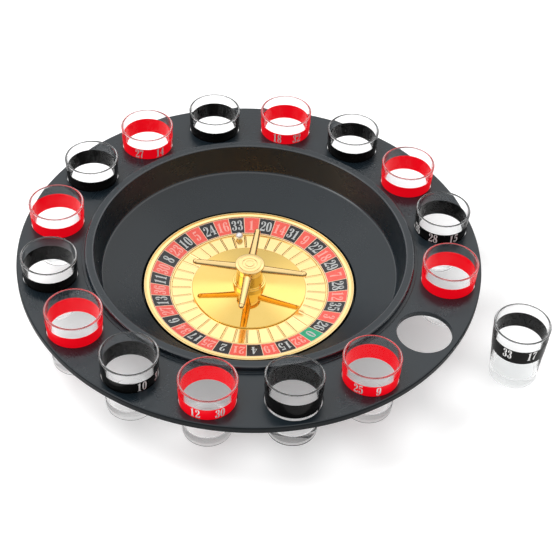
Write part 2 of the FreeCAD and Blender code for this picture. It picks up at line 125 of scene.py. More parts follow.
# Each glass's numbers, with how many degrees right of the camera each one stands.
BAND_NUMBERS = {
    1: ((25, -21), (9, 20)),
    2: ((22, 150), (24, 197)),
    3: ((12, -25), (30, 25)),
    4: ((10, 23), (31, 67)),
    5: ((3, 140), (34, 187), (21, 234)),
    6: ((2, 150), (4, 197)),
    7: ((16, 150), (23, 197)),
    8: ((6, 150), (8, 197)),
    9: ((27, -20), (14, 29), (5, 74)),
    10: ((11, 150), (13, 197)),
    11: ((18, -18), (32, 29)),
    12: ((20, 150), (29, 197)),
    13: ((1, 150), (19, 197)),
    14: ((26, -59), (28, -12.6), (15, 34)),
    15: ((7, 150), (36, 197)),
    16: ((33, -18), (17, 35)),
}

# ---- camera -----------------------------------------------------------------------------------
CAMERA_TARGET = Vector((0.01962, 0.013955, 0.0))
CAMERA_DISTANCE = 0.930057
CAMERA_PITCH = math.radians(44.317)
CAMERA_ROLL = math.radians(3.0)
CAMERA_LENS = 91.533


def camera_axes():
    """Right, up and forward directions of the camera."""
    forward = Vector((0, math.cos(CAMERA_PITCH), -math.sin(CAMERA_PITCH)))
    level = Vector((1, 0, 0))
    upright = level.cross(forward)
    right = level * math.cos(CAMERA_ROLL) + upright * math.sin(CAMERA_ROLL)
    return right, right.cross(forward), forward


def make_camera():
    """Camera at the viewing angle, aimed at a point of the table near the wheel's axis."""
    right, up, forward = camera_axes()
    data = bpy.data.cameras.new("camera")
    data.lens = CAMERA_LENS
    data.sensor_width = 36
    data.clip_start = 0.01
    data.clip_end = 20
    camera = bpy.data.objects.new("camera", data)
    bpy.context.scene.collection.objects.link(camera)
    turn = Matrix((right, up, -forward)).transposed().to_4x4()
    camera.matrix_world = Matrix.Translation(CAMERA_TARGET - forward * CAMERA_DISTANCE) @ turn
    bpy.context.scene.camera = camera


# ---- mesh helpers -----------------------------------------------------------------------------
def polar(radius, azimuth, height=0.0):
    """Point in mm at a radius and an azimuth in degrees."""
    angle = math.radians(azimuth)
    return Vector((radius * math.cos(angle), radius * math.sin(angle), height))


def rounded(corners, step=math.radians(13)):
    """Points of a closed outline; a corner is (radius, height) or (radius, height, rounding)."""
    points = []
    for index, corner in enumerate(corners):
        here = Vector(corner[:2])
        if len(corner) < 3:
            points.append(here)
            continue
        before = (Vector(corners[index - 1][:2]) - here).normalized()
        after = (Vector(corners[(index + 1) % len(corners)][:2]) - here).normalized()
        half = before.angle(after) / 2
        centre = here + (before + after).normalized() * (corner[2] / math.sin(half))
        spoke = here + before * (corner[2] / math.tan(half)) - centre
        sweep = math.copysign(math.pi - 2 * half, after.cross(before))
        count = max(2, math.ceil(abs(sweep) / step))
        for place in range(count + 1):
            points.append(centre + Matrix.Rotation(sweep * place / count, 2) @ spoke)
    return points


def lathe(bm, corners, segments=256, step=math.radians(13)):
    """Adds a closed solid of revolution about Z to bm."""
    rings = []
    for radius, height in rounded(corners, step):
        if radius < 1e-6:
            rings.append([bm.verts.new((0, 0, height * MM))])
            continue
        rings.append([bm.verts.new((radius * MM * math.cos(TURN * k / segments),
                                    radius * MM * math.sin(TURN * k / segments),
                                    height * MM)) for k in range(segments)])
    faces = []
    for index, ring in enumerate(rings):
        following = rings[(index + 1) % len(rings)]
        if len(ring) == 1 and len(following) == 1:
            continue
        for k in range(segments):
            corner_verts = (ring[k % len(ring)], ring[(k + 1) % len(ring)],
                            following[(k + 1) % len(following)], following[k % len(following)])
            faces.append(bm.faces.new(list(dict.fromkeys(corner_verts))))
    return faces


def strip(bm, first, second):
    """Quads between two loops of vertices of equal length."""
    count = len(first)
    for k in range(count):
        bm.faces.new((first[k], first[(k + 1) % count], second[(k + 1) % count], second[k]))


def loop(bm, centre, radius, height, segments):
    """Ring of vertices round a centre, in mm."""
    return [bm.verts.new(((centre[0] + radius * math.cos(TURN * k / segments)) * MM,
                          (centre[1] + radius * math.sin(TURN * k / segments)) * MM,
                          height * MM)) for k in range(segments)]


def encloses(polygon, point):
    """Even-odd test of a point in a polygon."""
    inside = False
    for index, here in enumerate(polygon):
        before = polygon[index - 1]
        if (here.y > point.y) != (before.y > point.y):
            share = (point.y - here.y) / (before.y - here.y)
            if point.x < here.x + share * (before.x - here.x):
                inside = not inside
    return inside


def fill_with_holes(bm, outer, holes):
    """Flat triangles between one outer loop of vertices and the loops inside it."""
    loops = [outer] + holes
    verts = [v for ring in loops for v in ring]
    edges, start = [], 0
    for ring in loops:
        count = len(ring)
        edges += [(start + k, start + (k + 1) % count) for k in range(count)]
        start += count
    flat = [Vector(v.co[:2]) / MM for v in verts]
    owner = [index for index, ring in enumerate(loops) for _ in ring]
    _, _, triangles, source, _, _ = delaunay_2d_cdt(flat, edges, [], 1, 1e-5)
    for triangle in triangles:
        corners = [source[k][0] for k in triangle]
        owners = {owner[k] for k in corners}
        middle = sum((flat[k] for k in corners), Vector((0, 0))) / 3
        if len(owners) == 1 and 0 not in owners:
            if encloses([flat[k] for k, o in enumerate(owner) if o in owners], middle):
                continue
        bm.faces.new([verts[k] for k in corners])


def middle_of(face):
    """Radius and height of a face's middle in mm."""
    middle = face.calc_center_median() / MM
    return math.hypot(middle.x, middle.y), middle.z


def make_object(bm, name, materials, smooth_angle=32, weighted=True):
    """Turns bm into an object with smooth shading up to an angle."""
    bmesh.ops.recalc_face_normals(bm, faces=bm.faces)
    mesh = bpy.data.meshes.new(name)
    bm.to_mesh(mesh)
    bm.free()
    for face in mesh.polygons:
        face.use_smooth = True
    mesh.set_sharp_from_angle(angle=math.radians(smooth_angle))
    for material in materials:
        mesh.materials.append(material)
    piece = bpy.data.objects.new(name, mesh)
    bpy.context.scene.collection.objects.link(piece)
    if weighted:
        modifier = piece.modifiers.new("flat faces first", "WEIGHTED_NORMAL")
        modifier.keep_sharp = True
        modifier.weight = 100
    return piece


def settle(piece, body, slot, *nodes):
    """Attaches a piece to its body and hides the CAD nodes it stands for; slot is not used."""
    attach(piece, body)
    if nodes:
        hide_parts(*nodes)
    return piece


# ---- materials --------------------------------------------------------------------------------
class Shader:
    """A node material under construction."""

    def __init__(self, name):
        self.material = bpy.data.materials.new(name)
        self.material.use_nodes = True
        self.tree = self.material.node_tree
        self.tree.nodes.clear()
        self.output = self.tree.nodes.new("ShaderNodeOutputMaterial")
        self.place = self.add("TexCoord").outputs["Object"]

    def add(self, kind, inputs=None, **settings):
        node = self.tree.nodes.new("ShaderNode" + kind)
        for key, value in settings.items():
            setattr(node, key, value)
        for key, value in (inputs or {}).items():
            if isinstance(value, bpy.types.NodeSocket):
                self.tree.links.new(value, node.inputs[key])
            else:
                node.inputs[key].default_value = value
        return node

    def noise(self, scale, detail=3.0, rough=0.5, place=None, distortion=0.0):
        node = self.add("TexNoise", {"Vector": place or self.place, "Scale": scale, "Detail": detail,
                                     "Roughness": rough, "Distortion": distortion})
        return node.outputs["Fac"]

    def spread(self, value, low, high, start=0.3, end=0.7):
        node = self.add("MapRange", {"Value": value, "From Min": start, "From Max": end,
                                     "To Min": low, "To Max": high})
        return node.outputs["Result"]

    def blend(self, factor, first, second):
        node = self.add("Mix", data_type="RGBA")
        self.tree.links.new(factor, node.inputs[0])
        for index, colour in ((6, first), (7, second)):
            if isinstance(colour, bpy.types.NodeSocket):
                self.tree.links.new(colour, node.inputs[index])
            else:
                node.inputs[index].default_value = (*colour, 1)
        return node.outputs[2]

    def round_axis(self, around, across):
        """Coordinates that run round the wheel's axis, for marks that follow the turning."""
        split = self.add("SeparateXYZ", {"Vector": self.place})
        angle = self.add("Math", {0: split.outputs[1], 1: split.outputs[0]}, operation="ARCTAN2")
        flat = self.add("CombineXYZ", {"X": split.outputs[0], "Y": split.outputs[1]})
        radius = self.add("VectorMath", {0: flat.outputs[0]}, operation="LENGTH")
        first = self.add("Math", {0: angle.outputs[0], 1: around}, operation="MULTIPLY")
        second = self.add("Math", {0: radius.outputs["Value"], 1: across}, operation="MULTIPLY")
        return self.add("CombineXYZ", {"X": first.outputs[0], "Y": second.outputs[0],
                                       "Z": split.outputs[2]}).outputs[0]

    def bump(self, height, strength, distance, normal=None):
        inputs = {"Height": height, "Strength": strength, "Distance": distance}
        if normal:
            inputs["Normal"] = normal
        return self.add("Bump", inputs).outputs["Normal"]

    def principled(self, inputs):
        node = self.add("BsdfPrincipled", inputs)
        self.tree.links.new(node.outputs[0], self.output.inputs["Surface"])
        return node


def moulded_plastic(name, dark, light, low, high, gloss=0.5):
    """Satin moulded plastic: faint clouding, a fine grain and hairline rub marks."""
    s = Shader(name)
    cloud = s.noise(22, 5, 0.6)
    grain = s.noise(2600, 2, 0.5)
    rubs = s.noise(1, 4, 0.7, s.round_axis(3, 900))
    colour = s.blend(s.spread(cloud, 0, 1), dark, light)
    haze = s.add("Math", {0: s.spread(cloud, low, high), 1: s.spread(rubs, 0, 0.06, 0.55, 0.75)},
                 operation="ADD")
    normal = s.bump(grain, 0.10, 0.00003)
    s.principled({"Base Color": colour, "Roughness": haze.outputs[0], "Normal": normal,
                  "IOR": 1.5, "Specular IOR Level": gloss})
    return s.material


def metallised(name, deep, pale, low, high, ripple, metal=1.0, glow=(0.0, 0.0, 0.0)):
    """Mirror plating on moulded plastic: slight waviness, thin haze and fine turning marks.

    A glow, where given, is painted light that lifts the plating where it mirrors only dark things.
    """
    s = Shader(name)
    cloud = s.noise(45, 4, 0.6)
    wave = s.noise(170, 2, 0.5)
    turning = s.noise(1, 3, 0.6, s.round_axis(4, 2600))
    colour = s.blend(s.spread(cloud, 0, 1), deep, pale)
    haze = s.add("Math", {0: s.spread(cloud, low, high), 1: s.spread(turning, 0, 0.04, 0.5, 0.8)},
                 operation="ADD")
    normal = s.bump(turning, 0.12, 0.000004, s.bump(wave, ripple, 0.00004))
    s.principled({"Base Color": colour, "Metallic": metal, "Roughness": haze.outputs[0],
                  "Normal": normal, "Emission Color": (*glow, 1), "Emission Strength": 1.0})
    return s.material


def printed(name, deep, pale, rough, gloss=0.5, glow=(0.0, 0.0, 0.0)):
    """Glossy ink film: slight mottling and print grain. A glow, where given, is painted light."""
    s = Shader(name)
    mottle = s.noise(600, 3, 0.6)
    grain = s.noise(5200, 1, 0.5)
    colour = s.blend(s.spread(mottle, 0, 1), deep, pale)
    normal = s.bump(grain, 0.08, 0.00002)
    s.principled({"Base Color": colour, "Roughness": s.spread(mottle, rough, rough + 0.08),
                  "Normal": normal, "Specular IOR Level": gloss,
                  "Emission Color": (*glow, 1), "Emission Strength": 1.0})
    return s.material


def turned_metal(name, deep, pale, low, high):
    """Machined metal with fine lathe marks round the axis."""
    s = Shader(name)
    marks = s.noise(1, 3, 0.6, s.round_axis(2, 9000))
    colour = s.blend(s.spread(marks, 0, 1), deep, pale)
    s.principled({"Base Color": colour, "Metallic": 1.0, "Roughness": s.spread(marks, low, high),
                  "Normal": s.bump(marks, 0.2, 0.000006)})
    return s.material


def clear_glass(name, index, tint):
    """Pressed glass: faintly wavy, tinted as given, and open to light on its way to what is behind
    it.
    """
    s = Shader(name)
    wave = s.noise(60, 2, 0.5)
    smear = s.noise(140, 4, 0.6)
    normal = s.bump(wave, 0.25, 0.00004)
    colour = s.blend(s.spread(smear, 0, 1), tint, (1.0, 1.0, 1.0))
    glass = s.add("BsdfPrincipled", {"Base Color": colour, "Roughness": s.spread(smear, 0.0, 0.012),
                                     "IOR": index, "Transmission Weight": 1.0, "Normal": normal})
    veil = s.add("BsdfTransparent", {"Color": (0.93, 0.94, 0.94, 1)})
    path = s.add("LightPath")
    soft = s.add("MixShader", {0: path.outputs["Is Diffuse Ray"], 1: glass.outputs[0],
                               2: veil.outputs[0]})
    both = s.add("MixShader", {0: path.outputs["Is Shadow Ray"], 1: soft.outputs[0],
                               2: veil.outputs[0]})
    s.tree.links.new(both.outputs[0], s.output.inputs["Surface"])
    return s.material


def pale_floor():
    """A white table lit from inside, as a product table is, and dimmer where it is mirrored."""
    s = Shader("pale floor")
    path = s.add("LightPath")
    mirrored = s.add("Math", {0: path.outputs["Is Glossy Ray"],
                              1: path.outputs["Is Transmission Ray"]},
                     operation="SUBTRACT", use_clamp=True).outputs[0]
    pale = s.blend(s.noise(3, 3, 0.5), (0.86, 0.86, 0.86), (0.88, 0.88, 0.88))
    glow = s.spread(mirrored, 0.28, 0.20, 0, 1)
    s.principled({"Base Color": s.blend(mirrored, pale, (0.52, 0.52, 0.52)), "Roughness": 0.7,
                  "Specular IOR Level": 0.1, "Emission Color": (1, 1, 1, 1),
                  "Emission Strength": glow})
    return s.material


BLACK = moulded_plastic("black satin plastic", (0.0058, 0.0112, 0.0158), (0.0088, 0.0152, 0.0205),
                        0.24, 0.32, 0.6)
# Lighter, glossier black for the bowl's lip edges and wall foot: the lighter colour is a painted
# highlight.
BLACK_PAINTED_HIGHLIGHT = moulded_plastic("black plastic, edge with painted highlight", (0.012, 0.017, 0.022),
                             (0.018, 0.024, 0.030), 0.09, 0.13, 1.0)
# Darker, rougher, duller black for the rack's outer edge: the darker colour is painted shade.
BLACK_PAINTED_SHADE = moulded_plastic("black plastic, ring edge with painted shade", (0.004, 0.006, 0.008),
                              (0.006, 0.009, 0.011), 0.34, 0.42, 0.2)
GOLD = metallised("gold plating", (0.96, 0.70, 0.31), (0.98, 0.74, 0.37), 0.05, 0.09, 0.06)
# Soft gold for pockets, arms and cap, with a faint glow: painted light lifting its dark reflections.
GOLD_SOFT_PAINTED_GLOW = metallised("gold plating soft with painted glow", (0.97, 0.68, 0.30), (0.98, 0.72, 0.35), 0.10, 0.14,
                       0.04, glow=(0.050, 0.040, 0.010))
GOLD_SMOOTH = metallised("gold plating polished", (0.95, 0.65, 0.185), (0.98, 0.69, 0.215),
                         0.035, 0.06, 0.02)
CELL_RED = printed("number film red", (0.76, 0.085, 0.06), (0.82, 0.115, 0.085), 0.16)
CELL_BLACK = printed("number film black", (0.012, 0.012, 0.014), (0.02, 0.02, 0.023), 0.16)
CELL_GREEN = printed("number film green", (0.01, 0.30, 0.15), (0.02, 0.36, 0.19), 0.16)
CELL_LINE = printed("number film separator", (0.78, 0.50, 0.36), (0.84, 0.58, 0.42), 0.2)
NUMERAL_PINK = printed("numeral on red", (0.84, 0.30, 0.25), (0.88, 0.37, 0.32), 0.25)
NUMERAL_GREY = printed("numeral on black", (0.40, 0.41, 0.40), (0.50, 0.51, 0.50), 0.25)
# Strong glow in the red enamel, about twice what its colour reflects: painted light.
BAND_RED_PAINTED_GLOW = printed("band enamel red with painted glow", (0.30, 0.002, 0.006), (0.34, 0.003, 0.009), 0.15, 0.08,
                   (0.60, 0.001, 0.006))
BAND_BLACK = printed("band enamel black", (0.003, 0.003, 0.003), (0.006, 0.006, 0.006), 0.15,
                     0.12)
NUMERAL_WHITE = printed("numeral enamel white", (0.80, 0.79, 0.78), (0.88, 0.87, 0.86), 0.2)
GLASS = clear_glass("clear glass", 1.21, (0.985, 0.99, 0.99))
# Rim glass tinted dark grey: painted shade for the dark line round each rim; higher index for
# brighter reflections.
GLASS_RIM_PAINTED_SHADE = clear_glass("grey glass rim with painted shade", 1.6, (0.30, 0.31, 0.32))
STEEL = turned_metal("turned steel", (0.52, 0.52, 0.54), (0.68, 0.68, 0.70), 0.18, 0.32)
BRASS = turned_metal("turned brass", (0.70, 0.50, 0.20), (0.84, 0.64, 0.30), 0.2, 0.34)
NYLON = moulded_plastic("natural nylon", (0.80, 0.79, 0.74), (0.87, 0.86, 0.82), 0.38, 0.5)
BALL = metallised("satin ball steel", (0.92, 0.93, 0.94), (0.96, 0.96, 0.97), 0.30, 0.36, 0.02,
                  0.55)

# ---- numerals ---------------------------------------------------------------------------------
# Outlines on a grid 100 units tall. A third value of 0 marks a control point of a curve.
SIX = ([(46, 80), (46, 101, 0), (28, 101), (0, 101, 0), (0, 48), (0, -1, 0), (26, -1),
        (50, -1, 0), (50, 31), (50, 62, 0), (31, 62), (22, 62, 0), (17, 54), (18, 95, 0),
        (29, 95), (35, 95, 0), (35, 89), (30, 87, 0), (30, 80), (30, 72, 0), (38, 72),
        (46, 72, 0)],
       [(26, 56), (33, 56, 0), (33, 31), (33, 5, 0), (26, 5), (17, 5, 0), (17, 33), (17, 56, 0)])
DIGITS = {
    "0": ([(25, 101), (50, 101, 0), (50, 50), (50, -1, 0), (25, -1), (0, -1, 0), (0, 50),
           (0, 101, 0)],
          [(25, 95), (33, 95, 0), (33, 50), (33, 5, 0), (25, 5), (17, 5, 0), (17, 50),
           (17, 95, 0)]),
    "1": ([(5, 0), (42, 0), (42, 5), (33, 5, 0), (33, 14), (33, 101), (27, 101), (22, 90, 0),
           (5, 87), (5, 82), (15, 82), (15, 14), (15, 5, 0), (5, 5)],),
    "2": ([(3, 74), (3, 101, 0), (25, 101), (49, 101, 0), (49, 75), (49, 58, 0), (33, 42),
           (18, 28, 0), (13, 16), (36, 16), (44, 16, 0), (45, 30), (50, 30), (47, 0), (1, 0),
           (1, 7), (5, 24, 0), (19, 40), (32, 56, 0), (32, 75), (32, 95, 0), (23, 95),
           (13, 95, 0), (13, 87), (20, 84, 0), (20, 75), (20, 66, 0), (11.5, 66), (3, 66, 0)],),
    "3": ([(3, 78), (3, 101, 0), (24, 101), (46, 101, 0), (46, 77), (46, 58, 0), (33, 53),
           (48, 48, 0), (48, 26), (48, -1, 0), (23, -1), (2, -1, 0), (2, 20), (2, 31, 0),
           (10.5, 31), (19, 31, 0), (19, 23), (19, 16, 0), (13, 14), (13, 5, 0), (22, 5),
           (31, 5, 0), (31, 26), (31, 49, 0), (20, 49), (15, 49), (15, 55), (20, 55),
           (30, 55, 0), (30, 77), (30, 95, 0), (22, 95), (14, 95, 0), (14, 88), (19, 85, 0),
           (19, 79), (19, 70, 0), (11, 70), (3, 70, 0)],),
    "4": ([(1, 28), (1, 34), (31, 101), (41, 101), (41, 36), (51, 36), (51, 28), (41, 28),
           (41, 14), (41, 5, 0), (48, 5), (48, 0), (18, 0), (18, 5), (25, 5, 0), (25, 14),
           (25, 28)],
          [(25, 36), (8, 36), (25, 76)]),
    "5": ([(7, 100), (44, 100), (41, 84), (13, 84), (12, 61), (18, 66, 0), (27, 66),
           (48, 66, 0), (48, 34), (48, -1, 0), (22, -1), (2, -1, 0), (2, 18), (2, 29, 0),
           (10.5, 29), (18.5, 29, 0), (18.5, 21), (18.5, 15, 0), (12.5, 13), (12, 5, 0),
           (21, 5), (31, 5, 0), (31, 33), (31, 59, 0), (21, 59), (13, 59, 0), (9, 51),
           (5, 51)],),
    "6": SIX,
    "7": ([(2, 100), (48, 100), (48, 93), (30, 55, 0), (30, 10), (30, -1, 0), (21, -1),
           (12, -1, 0), (12, 10), (12, 40, 0), (38, 84), (15, 84), (7, 84, 0), (6, 70),
           (1, 70)],),
    "8": ([(25, 101), (46, 101, 0), (46, 77), (46, 62, 0), (35, 54), (50, 46, 0), (50, 26),
           (50, -1, 0), (25, -1), (0, -1, 0), (0, 25), (0, 42, 0), (13, 50), (4, 58, 0),
           (4, 76), (4, 101, 0)],
          [(25, 95), (33, 95, 0), (33, 78), (33, 64, 0), (28, 59), (17, 68, 0), (17, 80),
           (17, 95, 0)],
          [(19, 46), (32, 36, 0), (32, 22), (32, 5, 0), (24, 5), (14, 5, 0), (14, 24),
           (14, 39, 0)]),
    "9": tuple([(50 - p[0], 100 - p[1], *p[2:]) for p in contour] for contour in SIX),
}
DIGIT_ADVANCE = 56
DIGIT_CENTRE = 25
CURVE_STEPS = 6
STRIP_WIDTH = 10


def contour_points(contour):
    """Points along a contour whose control points are marked by a third value."""
    points = []
    count = len(contour)
    for index, corner in enumerate(contour):
        if len(corner) == 2:
            points.append(Vector(corner))
            continue
        start = Vector(contour[index - 1][:2])
        control = Vector(corner[:2])
        end = Vector(contour[(index + 1) % count][:2])
        for k in range(1, CURVE_STEPS):
            t = k / CURVE_STEPS
            points.append(start * (1 - t) ** 2 + control * 2 * t * (1 - t) + end * t * t)
    return points


def digit_mesh(digit):
    """Flat mesh of one digit, cut into upright strips so that it can be bent."""
    bm = bmesh.new()
    loops = [[bm.verts.new((p.x * MM, p.y * MM, 0)) for p in contour_points(contour)]
             for contour in DIGITS[digit]]
    fill_with_holes(bm, loops[0], loops[1:])
    for across in range(0, 60, STRIP_WIDTH):
        bmesh.ops.bisect_plane(bm, geom=bm.verts[:] + bm.edges[:] + bm.faces[:],
                               plane_co=(across * MM, 0, 0), plane_no=(1, 0, 0))
    bm.verts.index_update()
    points = [(v.co.x / MM - DIGIT_CENTRE, v.co.y / MM - 50) for v in bm.verts]
    faces = [[v.index for v in face.verts] for face in bm.faces]
    rim = [[v.index for v in edge.verts] for edge in bm.edges if len(edge.link_faces) == 1]
    bm.free()
    return points, faces, rim


DIGIT_MESHES = {digit: digit_mesh(digit) for digit in DIGITS}


def stamp(bm, text, height, squeeze, proud, put, material_index):
    """Adds a number as thin solid digits. put(across, up, out) gives a point in metres."""
    unit = height / 100
    for place, digit in enumerate(text):
        shift = (place - (len(text) - 1) / 2) * DIGIT_ADVANCE
        points, faces, rim = DIGIT_MESHES[digit]
        levels = []
        for out in (NUMERAL_SUNK, proud):
            levels.append([bm.verts.new(put((x + shift) * unit * squeeze, y * unit, out))
                           for x, y in points])
        built = [bm.faces.new([level[k] for k in face]) for face in faces for level in levels]
        built += [bm.faces.new((levels[0][a], levels[0][b], levels[1][b], levels[1][a]))
                  for a, b in rim]
        for face in built:
            face.material_index = material_index


# ---- fixed side -------------------------------------------------------------------------------
def hole_azimuth(place):
    """Azimuth of a cup hole, counted clockwise from the free one."""
    return FREE_HOLE_AZIMUTH - place * 360.0 / CUP_COUNT


def make_rack():
    """Flat ring with sixteen cup holes, rounded edges, a turned-down rim and a collar."""
    bm = bmesh.new()
    hole_segments = 72
    outside = rounded([(RACK_INNER_RADIUS, RACK_TOP), (RACK_RADIUS, RACK_TOP, 1.2),
                       (RACK_RADIUS, RACK_EDGE_BOTTOM, 0.5), (RACK_EDGE_INSIDE, RACK_EDGE_BOTTOM),
                       (RACK_EDGE_INSIDE, RACK_UNDERSIDE),
                       (RACK_INNER_RADIUS, RACK_UNDERSIDE)])[1:-1]
    inside = [(RACK_INNER_RADIUS, RACK_TOP), (RACK_INNER_RADIUS, COLLAR_BOTTOM),
              (COLLAR_OUTSIDE, COLLAR_BOTTOM), (COLLAR_OUTSIDE, RACK_UNDERSIDE)]
    ends = []
    for outline in (outside, inside):
        loops = [loop(bm, (0, 0), radius, height, ROUND) for radius, height in outline]
        for first, second in zip(loops, loops[1:]):
            strip(bm, first, second)
        ends.append((loops[0], loops[-1]))
    upper, lower = [], []
    arc = [(CUP_HOLE_RADIUS + CUP_HOLE_ROUNDING * (1 - math.sin(a)),
            RACK_TOP - CUP_HOLE_ROUNDING * (1 - math.cos(a)))
           for a in (math.pi / 2 * k / 6 for k in range(7))]
    for place in range(CUP_COUNT):
        centre = polar(CUP_CIRCLE_RADIUS, hole_azimuth(place))
        wall = arc + [(CUP_HOLE_RADIUS, RACK_UNDERSIDE)]
        loops = [loop(bm, centre, radius, height, hole_segments) for radius, height in wall]
        for first, second in zip(loops, loops[1:]):
            strip(bm, first, second)
        upper.append(loops[0])
        lower.append(loops[-1])
    fill_with_holes(bm, ends[0][0], [ends[1][0]] + upper)
    fill_with_holes(bm, ends[0][1], [ends[1][1]] + lower)
    # The outermost faces take the darker black: painted shade on the ring's edge.
    for face in bm.faces:
        across, _ = middle_of(face)
        face.material_index = across > RACK_RADIUS - 0.5
    rack = make_object(bm, "rack_ring", [BLACK, BLACK_PAINTED_SHADE])
    return settle(rack, "root", "black_plastic", "cup_rack")


def make_bowl():
    """Bowl with a raised lip, a steep wall, a conical floor and the rotor's recess."""
    bm = bmesh.new()
    lathe(bm, [(2.0, 3.0), (7.2, 3.0), (7.2, 0.8), (58.0, 0.8), (58.0, 0.0), (71.0, 0.0, 1.2),
               (71.0, 8.57, 1.5), (95.9, 22.12, 3.0), (99.1, 39.0), (104.9, 39.0),
               (104.9, 39.5, 0.25), (103.1, 39.6, 0.2), (*LIP_OUTSIDE, 1.2), (*LIP_INSIDE, 1.0),
               (*WALL_FOOT, 2.5), (68.6, 10.0, 0.6), (68.6, 2.8, 0.8), (9.0, 2.8, 0.8),
               (9.0, 5.0, 0.4), (2.0, 5.0)], ROUND)
    # Faces near the lip's two edges and the wall foot take the lighter black: a painted highlight
    # line.
    painted_highlight_edges = ((*WALL_FOOT, 1.7), (*LIP_INSIDE, 1.1), (*LIP_OUTSIDE, 1.2))
    for face in bm.faces:
        across, up = middle_of(face)
        face.material_index = any(math.hypot(across - radius, up - height) < reach
                                  for radius, height, reach in painted_highlight_edges)
    bowl = make_object(bm, "bowl_shell", [BLACK, BLACK_PAINTED_HIGHLIGHT])
    return settle(bowl, "root", "black_plastic", "bowl")


# ---- rotor ------------------------------------------------------------------------------------
def make_pan():
    """Gold pan with its double beaded rim."""
    bm = bmesh.new()
    lathe(bm, [(3.5, 6.7), (8.6, 6.7, 0.8), (13.0, 3.6, 0.8), (50.8, 3.6, 2.0), (63.6, 7.2, 1.0),
               (66.2, 7.2, 0.5), (67.4, 8.2, 0.5), (67.4, 10.3, 0.45), (66.5, 10.3, 0.35),
               (66.35, 9.5, 0.1), (65.9, 9.5, 0.1), (65.75, 9.8, 0.15), (63.6, 9.7, 0.4),
               (63.6, 8.9), (50.8, 5.9), (50.8, 4.5), (14.0, 4.5, 1.5), (8.2, 8.2, 1.0),
               (6.0, 8.2), (6.0, 13.0, 0.4), (3.5, 13.0)], ROUND)
    return settle(make_object(bm, "rotor_rim_pan", [GOLD]), "rotor", "gold_plating", "rotor_pan")


def number_height(radius):
    """Height of the printed film's upper face at a radius."""
    share = (radius - NUMBER_INNER[0]) / (NUMBER_OUTER[0] - NUMBER_INNER[0])
    return NUMBER_INNER[1] + share * (NUMBER_OUTER[1] - NUMBER_INNER[1]) + NUMBER_FILM


def cell_paint(number):
    """Material slot of a number's cell."""
    if number == 0:
        return GREEN_PAINT
    return RED_PAINT if number in RED_NUMBERS else BLACK_PAINT


def make_number_ring():
    """Printed ring: 37 coloured cells between thin lines, with raised numerals of ink."""
    bm = bmesh.new()
    radii = (NUMBER_INNER[0], NUMBER_INNER[0] + NUMBER_BORDER, NUMBER_MIDDLE,
             NUMBER_OUTER[0] - NUMBER_BORDER, NUMBER_OUTER[0])
    half = math.degrees(NUMBER_LINE / 2 / NUMBER_MIDDLE)
    spots, paints = [], []
    for index, number in enumerate(WHEEL_ORDER):
        start = ZERO_AZIMUTH - index * POCKET_STEP + POCKET_STEP / 2
        edges = [start + half] + [start - half - (POCKET_STEP - 2 * half) * k / 6
                                  for k in range(6)]
        spots += edges
        paints += [LINE_PAINT] + [cell_paint(number)] * 6
    levels = []
    for sink in (0, NUMBER_FILM):
        rings = []
        for radius in radii:
            rings.append([bm.verts.new(polar(radius, a, number_height(radius) - sink) * MM)
                          for a in spots])
        levels.append(rings)
    count = len(spots)
    for level in levels:
        for r in range(len(radii) - 1):
            for k in range(count):
                n = (k + 1) % count
                face = bm.faces.new((level[r][k], level[r][n], level[r + 1][n], level[r + 1][k]))
                face.material_index = paints[k] if 0 < r < len(radii) - 2 else LINE_PAINT
    strip(bm, levels[0][0], levels[1][0])
    strip(bm, levels[0][-1], levels[1][-1])
    for face in bm.faces[-2 * count:]:
        face.material_index = LINE_PAINT
    for index, number in enumerate(WHEEL_ORDER):
        azimuth = ZERO_AZIMUTH - index * POCKET_STEP
        outward = polar(1, azimuth)
        sideways = polar(1, azimuth - 90)

        def put(across, up, out):
            point = outward * (NUMBER_MIDDLE + up * 0.97) + sideways * across
            height = number_height(math.hypot(point.x, point.y)) + out
            return Vector((point.x, point.y, height)) * MM

        ink = PINK_INK if number in RED_NUMBERS else GREY_INK
        stamp(bm, str(number), NUMERAL_HEIGHT, NUMERAL_SQUEEZE, 0.025, put, ink)
    ring = make_object(bm, "number_cells", [CELL_RED, CELL_BLACK, CELL_GREEN, CELL_LINE,
                                            NUMERAL_PINK, NUMERAL_GREY], weighted=False)
    return settle(ring, "rotor", "number_print", "number_ring")


def make_pockets():
    """Pocket floor with a rounded outer edge and 37 low frets, each a soft ridge."""
    bm = bmesh.new()
    lathe(bm, [(36.9, 4.5), (50.75, 4.5), (50.75, 6.2, 0.5), (49.5, 6.2, 0.4),
               (49.5, POCKET_FLOOR, 0.3), (36.9, POCKET_FLOOR)], ROUND)
    half, low = FRET_WIDTH / 2, POCKET_FLOOR - 0.3
    ridge = [(half * share, POCKET_FLOOR + FRET_HEIGHT * math.cos(math.pi / 2 * share) ** 2)
             for share in (k / 5 for k in range(-5, 6))]
    section = [(-half, low), *ridge, (half, low)]
    for index in range(POCKET_COUNT):
        azimuth = ZERO_AZIMUTH + (index + 0.5) * POCKET_STEP
        along, across = polar(1, azimuth), polar(1, azimuth + 90)
        loops = []
        for distance, height in ((FRET_INNER, 0.0), (FRET_INNER + 0.6, 1.0), (FRET_OUTER, 1.0)):
            loops.append([bm.verts.new((along * distance + across * x
                                        + Vector((0, 0, low + (z - low) * height))) * MM)
                          for x, z in section])
        for first, second in zip(loops, loops[1:]):
            strip(bm, first, second)
        bm.faces.new(loops[0])
        bm.faces.new(loops[-1])
    pockets = make_object(bm, "ball_pockets", [GOLD_SOFT_PAINTED_GLOW])
    return settle(pockets, "rotor", "gold_plating", "pocket_ring")


def make_cone():
    """Polished cone between the pockets and the turret."""
    bm = bmesh.new()
    lathe(bm, [(36.6, 4.5), (36.6, 6.4, 0.3), (9.2, 8.86), (9.2, 7.66), (35.4, 5.3),
               (35.4, 4.5)], ROUND)
    cone = make_object(bm, "polished_cone", [GOLD_SMOOTH])
    return settle(cone, "rotor", "gold_plating", "cone_disc")


